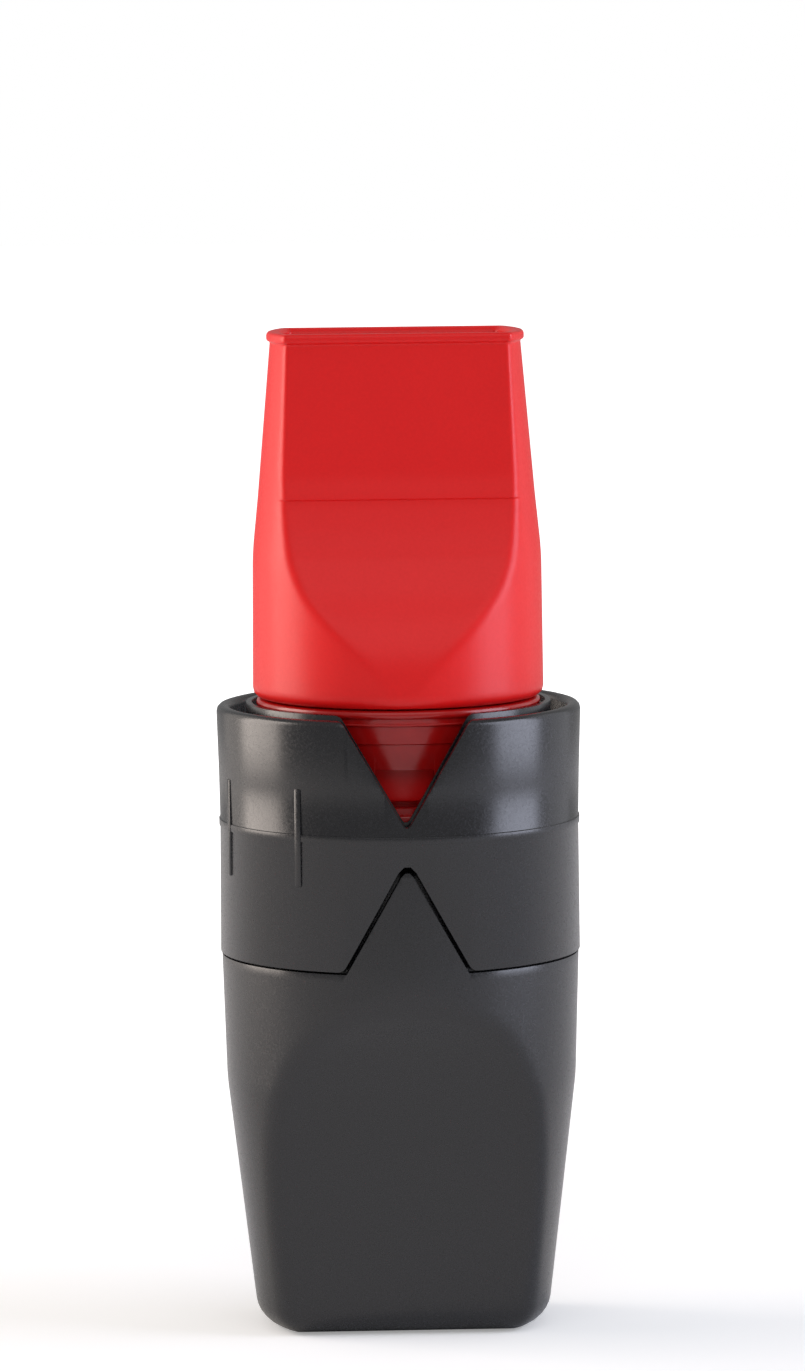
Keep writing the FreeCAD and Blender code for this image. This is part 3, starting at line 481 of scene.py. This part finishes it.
# Guide ring
# The thin ring that the holder turns in: the same ABS, snapped into the sleeve's web, with the same V cut.
# Above the web, a dark gap parts it from the sleeve's wall.
ring_foot = 65.5
ring_height = 15.2
ring_outer = 19.55
ring_inner = 18.8
ring_floor = 1.2
plug_in_radius = 18.15
plug_in_bore = 16.6
plug_in_foot = -4.9
bm = turned([
    (plug_in_bore, plug_in_foot), (plug_in_radius, plug_in_foot), (plug_in_radius, 0), (ring_outer, 0),
    (ring_outer, ring_height), (ring_inner, ring_height), (ring_inner, ring_floor),
    (plug_in_bore, ring_floor)], steps=224, seat=ring_foot)
bm = cut(bm, cutter("ring_notches", notch_corners(ring_height, -1, upper_depth, upper_tip), ring_foot))
break_edges(bm, width=0.15, segments=2)
make_piece("guide_ring_moulding", bm, "sleeve", ["guide_ring"], anthracite)


# Hose guide
# The curved scoop below the ring that bends the hose, moulded in the same ABS. Its plain solid is right as
# it is, so it only gets its material.
for guide_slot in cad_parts["hose_guide"].material_slots:
    guide_slot.material = anthracite


# Hose holder
# The stepped cup that the mouthpiece plugs into: a red moulding with a polished tool finish, a rounded bead
# and lip above, a band, and a sunk window at the start mark. Its spigot below carries the hose.
# Polished red ABS: a deep red with small, clear highlights on the bead, the band and the lip.
gloss_red = moulded_plastic("polished_red_abs", "#B2100F", "#A60D0D", 0.2, 1.52, 1.1, 0.06)
holder_seat = 66.85
spigot_foot = -16.35
spigot_radius = 9.0
spigot_bore = 7.9
boss_foot = -6.75
boss_radius = 15.15
boss_bore = 13.85
boss_floor = -5.35
flange_radius = 18.72
flange_top = 1.1
track_radius = 16.05
cup_foot = 2.15
cup_radius = 17.35
cup_bore = 15.3
cup_floor = 2.35
belt_foot = 10.05
belt_top = 12.35
belt_radius = 17.6
bead_top = 12.65
bead_radius = 17.9
throat_radius = 17.75
holder_lip_foot = 13.25
holder_lip_top = 14.35
holder_lip_radius = 18.2
bm = turned([
    (spigot_bore, spigot_foot), (spigot_radius, spigot_foot, 0.3), (spigot_radius, boss_foot),
    (boss_radius, boss_foot, 0.5), (boss_radius, 0), (flange_radius, 0), (flange_radius, flange_top, 0.25),
    (track_radius, flange_top), (track_radius, cup_foot), (cup_radius, cup_foot, 0.2),
    (cup_radius, belt_foot, 0.1), (belt_radius, belt_foot, 0.08), (belt_radius, belt_top, 0.1),
    (bead_radius, belt_top, 0.1), (bead_radius, bead_top, 0.1), (throat_radius, bead_top, 0.05),
    (throat_radius, holder_lip_foot), (holder_lip_radius, holder_lip_foot, 0.4),
    (holder_lip_radius, holder_lip_top, 0.5), (cup_bore, holder_lip_top, 0.2), (cup_bore, cup_floor),
    (boss_bore, cup_floor), (boss_bore, boss_floor), (spigot_bore, boss_floor)], steps=224, seat=holder_seat)
window_half = 3.76
window_foot = 1.75
window_top = 6.8
window_corners = [
    (-window_half, window_foot), (window_half, window_foot), (window_half, window_top, 0.3),
    (-window_half, window_top, 0.3)]
keyway_half = 1.85
keyway_foot = 5.8
keyway_top = 15.0
keyway_corners = [
    (-keyway_half, keyway_foot), (keyway_half, keyway_foot), (keyway_half, keyway_top),
    (-keyway_half, keyway_top)]
bm = cut(
    bm,
    cutter("window", window_corners, holder_seat, front=-20.0, back=-12.0),
    cutter("keyway", keyway_corners, holder_seat, front=-16.15, back=-12.0))


def near_window(edge):
    """True for the edges in front, round the window and the keyway."""
    corner = edge.verts[0].co
    return corner.y < -14 * MM and abs(corner.x) < 4.5 * MM


break_edges(bm, width=0.1, segments=2, test=near_window)
make_piece("holder_moulding", bm, "holder", ["hose_holder"], gloss_red)


# Hose clamp
# Black elastic ring with two ribs, stretched over the hose on the holder's spigot. It keeps the hose from
# slipping off, and turns with the holder.
def soft_rubber(name, colour, shade, rough, clear=0.0):
    """Moulded rubber: matte, with slow patches of tone and a faint bloom of fine grain."""
    patch_size = 6 * MM
    bloom_size = 0.5 * MM
    bloom_height = 0.04 * MM
    light_depth = 0.8 * MM
    material = new_material(name)
    tree = material.node_tree
    where = add_node(tree, "ShaderNodeTexCoord").outputs["Object"]
    cloud = add_node(tree, "ShaderNodeTexNoise", {"Vector": where, "Scale": 1 / patch_size, "Detail": 4.0})
    fine = add_node(tree, "ShaderNodeTexNoise", {"Vector": where, "Scale": 1 / bloom_size, "Detail": 2.0})
    tone = add_node(tree, "ShaderNodeMix", {
        0: cloud.outputs[0], 6: linear_colour(colour), 7: linear_colour(shade)}, data_type="RGBA")
    dull = add_node(tree, "ShaderNodeMapRange", {
        0: fine.outputs[0], 1: 0.3, 2: 0.7, 3: rough - 0.05, 4: rough + 0.05})
    bump = add_node(tree, "ShaderNodeBump", {
        "Strength": 0.25, "Distance": bloom_height, "Height": fine.outputs[0]})
    skin = add_node(tree, "ShaderNodeBsdfPrincipled", {
        "Base Color": tone.outputs[2], "Roughness": dull.outputs[0], "IOR": 1.43, "Normal": bump.outputs[0],
        "Subsurface Weight": clear, "Subsurface Scale": light_depth})
    add_node(tree, "ShaderNodeOutputMaterial", {"Surface": skin.outputs[0]})
    return material


# Black rubber: a dull dark grey beside the plastic's black, with no clear highlight.
black_rubber = soft_rubber("black_rubber", "#1E1E20", "#262629", 0.6)
clamp_foot = 52.9
clamp_bore = 10.05
rib_radius = 11.2
valley_radius = 10.75
clamp_height = 4.2
bm = turned([
    (clamp_bore, 0, 0.2), (rib_radius, 0, 0.45), (rib_radius, 1.4, 0.3), (valley_radius, 1.4, 0.2),
    (valley_radius, 2.8, 0.2), (rib_radius, 2.8, 0.3), (rib_radius, clamp_height, 0.45),
    (clamp_bore, clamp_height, 0.2)], steps=96, seat=clamp_foot)
make_piece("clamp_ring", bm, "holder", ["hose_clamp"], black_rubber)


# Valve hose
# Soft milky silicone: round where it sits on the spigot, then laid flat and bent forwards by the guide.
# It is fast at the holder and free at its flat end; here it keeps one shape and is attached to no body.
# Milky silicone: light goes a little way in, which makes it look pale, soft and slightly clear.
silicone = soft_rubber("milky_silicone", "#C9C7BC", "#BDBAAE", 0.5, clear=0.25)
hose_root = 59.8
hose_end = 16.3
hose_length = 43.6
hose_radius = 10.0
hose_wall = 0.95
hose_edge = 0.3
# Each row: drop below the root, width and depth as shares of the round hose, bend forwards.
hose_shape = [
    (0.0, 1.0, 1.0, 0.0), (13.0, 1.0, 1.0, 0.0), (19.2, 1.22, 0.52, 1.0), (26.2, 1.42, 0.2, 2.6),
    (hose_length, 1.42, 0.2, 6.3)]


def hose_at(column, drop):
    """One of the hose's shape values at a drop below its root, eased along its length."""
    total = 0.0
    for i in range(7):
        at = min(max(drop + (i - 3) * 0.9, 0.0), hose_length)
        for low, high in zip(hose_shape, hose_shape[1:]):
            if at <= high[0]:
                share = (at - low[0]) / (high[0] - low[0])
                total += low[column] + (high[column] - low[column]) * share
                break
    return total / 7


bm = bmesh.new()
wire(bm, [(hose_radius, hose_root), (hose_radius, hose_end, hose_edge),
          (hose_radius - hose_wall, hose_end, hose_edge), (hose_radius - hose_wall, hose_root)], closed=True)
divide(bm, step=1.2)
spin_round(bm, steps=144)
for vert in bm.verts:
    drop = hose_root - vert.co.z / MM
    radius = math.hypot(vert.co.x, vert.co.y) / MM
    inset = hose_radius - radius
    wide, deep, bend = (hose_at(column, drop) for column in (1, 2, 3))
    # The wall is at its full thickness where the hose is round, and at 0.55 of it where it lies flat.
    thin = 1.0 if deep > 0.9 else 0.55 + 0.45 * max(0.0, deep - 0.2) / 0.7
    vert.co.x *= (hose_radius * wide - inset) / radius
    vert.co.y = vert.co.y * (hose_radius * deep - inset * thin) / radius - bend * MM
hose = make_piece("hose_tube", bm, None, ["valve_hose"], silicone)
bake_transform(hose)


# Mouthpiece
# A red moulding with a satin finish: a round skirt that rises into a flattened bite end with a rolled lip,
# a shallow stop line for the lips, and the plug below that enters the holder. The flat's lower end runs out
# in an arrow tip on the skirt, which points at the setting.
# Satin red polypropylene: a bright, even red whose shine lies broad and soft along the round flanks.
satin_red = moulded_plastic("satin_red_pp", "#EE1718", "#E81314", 0.36, 1.42, 0.4, 0.2)
mouthpiece_seat = 81.35
mouthpiece_height = 46.8
plug_foot = -17.89
plug_top = -11.99
plug_radius = 13.77
plug_bore = 11.57
groove_foot = -15.99
groove_top = -14.49
groove_radius = 12.67
collar_radius = 15.22
throat_bore = 13.72
skirt_radius = 18.65
bend_height = 18.5
bend_rounding = 36.0
stop_height = 25.9
lip_foot = 45.7
lip_radius = 16.45
bite_outer = [(skirt_radius, 0), (18.48, bend_height), (17.72, stop_height), (15.9, mouthpiece_height)]
bite_side = [
    (18.65, 0.5), (18.48, 3.0), (18.16, 5.5), (17.4, 8.0), (16.2, 10.5), (14.9, 12.5), (13.4, 14.8),
    (12.0, 18.0), (10.8, 21.5), (9.6, stop_height), (8.3, 38.0), (7.5, 45.0), (7.4, mouthpiece_height)]
bite_softness = [(0.1, 3.5), (0.35, 7.0), (0.9, 11.0), (1.2, 18.0), (1.0, 28.0), (0.7, mouthpiece_height)]
bite_reach = 1.2
bm = bmesh.new()
wire(bm, [
    (plug_bore, plug_foot), (plug_radius, plug_foot, 0.3), (plug_radius, groove_foot),
    (groove_radius, groove_foot), (groove_radius, groove_top), (plug_radius, groove_top),
    (plug_radius, plug_top), (collar_radius, plug_top, 0.3), (collar_radius, 0), (skirt_radius, 0, 1.2),
    (18.48, bend_height, bend_rounding), (17.72, stop_height, bend_rounding), (16.0, 45.5, 0.3),
    (lip_radius, lip_foot, 0.3), (lip_radius, mouthpiece_height, 0.5), (14.4, mouthpiece_height, 0.95),
    (16.22, stop_height, bend_rounding), (16.98, bend_height, bend_rounding), (17.15, 5.5),
    (throat_bore, 2.2), (throat_bore, -9.79), (plug_bore, plug_top)], closed=True)
divide(bm, step=0.6)
near_stop = [e for e in bm.edges if all(v.co.x > 17.3 * MM and 25.2 < v.co.z / MM < 26.8 for v in e.verts)]
bmesh.ops.subdivide_edges(bm, edges=near_stop, cuts=2)
spin_round(bm, steps=300)
press_flat([v for v in bm.verts if v.co.z > 0.4 * MM], bite_outer, bite_side, bite_softness, bite_reach)

# The stop line: the wall steps out over a short height, runs back above it, and fades out at the flanks.
stop_proud = 0.28
stop_half = 0.15
stop_run_out = 3.25
stop_end = 16.2
stop_fade = 1.8
shell_depth = 0.7
for vert in bm.verts:
    z = vert.co.z / MM
    shell = abs(vert.co.y) / MM > depth_at(bite_side, z) - shell_depth
    if shell and stop_height - stop_half < z < stop_height + stop_half + stop_run_out:
        rise = min(
            (z - stop_height + stop_half) / (2 * stop_half), 1 - (z - stop_height - stop_half) / stop_run_out)
        fade = max(0.0, min(1.0, (stop_end - abs(vert.co.x) / MM) / stop_fade))
        vert.co.y += math.copysign(stop_proud * rise * rise * (3 - 2 * rise) * fade, vert.co.y) * MM
bmesh.ops.translate(bm, verts=bm.verts[:], vec=(0, 0, mouthpiece_seat * MM))
make_piece("mouthpiece_moulding", bm, "mouthpiece", ["mouthpiece"], satin_red)


# Mouthpiece seal
# Black O-ring in the groove of the plug's nose. It closes the gap to the holder's cup, and comes out with the
# mouthpiece.
seal_low = 66.11 - 0.56
seal_high = 66.11 + 0.56
seal_inner = 12.7
seal_outer = 13.82
seal_rounding = 0.5
bm = turned([
    (seal_inner, seal_low, seal_rounding), (seal_outer, seal_low, seal_rounding),
    (seal_outer, seal_high, seal_rounding), (seal_inner, seal_high, seal_rounding)], steps=128)
make_piece("seal_ring", bm, "mouthpiece", ["mouthpiece_seal"], black_rubber)
